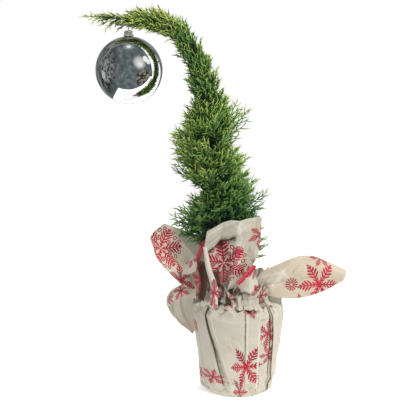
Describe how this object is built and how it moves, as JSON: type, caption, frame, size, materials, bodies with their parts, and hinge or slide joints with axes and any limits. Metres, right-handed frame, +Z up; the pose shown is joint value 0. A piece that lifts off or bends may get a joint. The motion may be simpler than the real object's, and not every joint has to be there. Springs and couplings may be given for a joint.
{
  "type": "potted conifer with bent top",
  "caption": "Small potted evergreen conifer, its leader bent over with a mirror bauble hung from it, the pot wrapped in snowflake-print paper; a seasonal table decoration.",
  "frame": {"origin": "centre of the wrapped pot's flat underside", "axes": "+Z up the plant, +X to the plant's right, -Y towards the front, so the leader bends over towards -X"},
  "size_m": [0.3991, 0.148, 0.5997],
  "materials": {
    "pot_plastic": "black moulded plastic",
    "potting_mix": "damp, crumbly",
    "bark": "stringy bark",
    "foliage": "matt scale leaves",
    "wrapping_paper": "natural uncoated paper with a red print",
    "ribbon_satin": "satin",
    "bauble_mirror": "silvered mirror gloss",
    "cap_metal": "dull silver"
  },
  "bodies": {
    "root": {"pot": "pot_plastic", "soil": "potting_mix", "trunk": "bark", "foliage_base": "foliage", "foliage_lower": "foliage", "foliage_middle": "foliage", "foliage_upper": "foliage", "foliage_neck": "foliage", "foliage_bend": "foliage", "foliage_arch": "foliage", "foliage_tip": "foliage", "wrap_body": "wrapping_paper", "wrap_lobe_front": "wrapping_paper", "wrap_fold_front": "wrapping_paper", "wrap_flap_front": "wrapping_paper", "wrap_lobe_left": "wrapping_paper", "wrap_droop_left": "wrapping_paper", "wrap_wing_right": "wrapping_paper", "wrap_lobe_back_right": "wrapping_paper", "wrap_lobe_back": "wrapping_paper", "wrap_lobe_back_left": "wrapping_paper", "ribbon_band": "ribbon_satin", "ribbon_left": "ribbon_satin", "ribbon_right": "ribbon_satin", "bauble": "bauble_mirror", "bauble_cap": "cap_metal", "bauble_hanger": "cap_metal"}
  },
  "joints": []
}
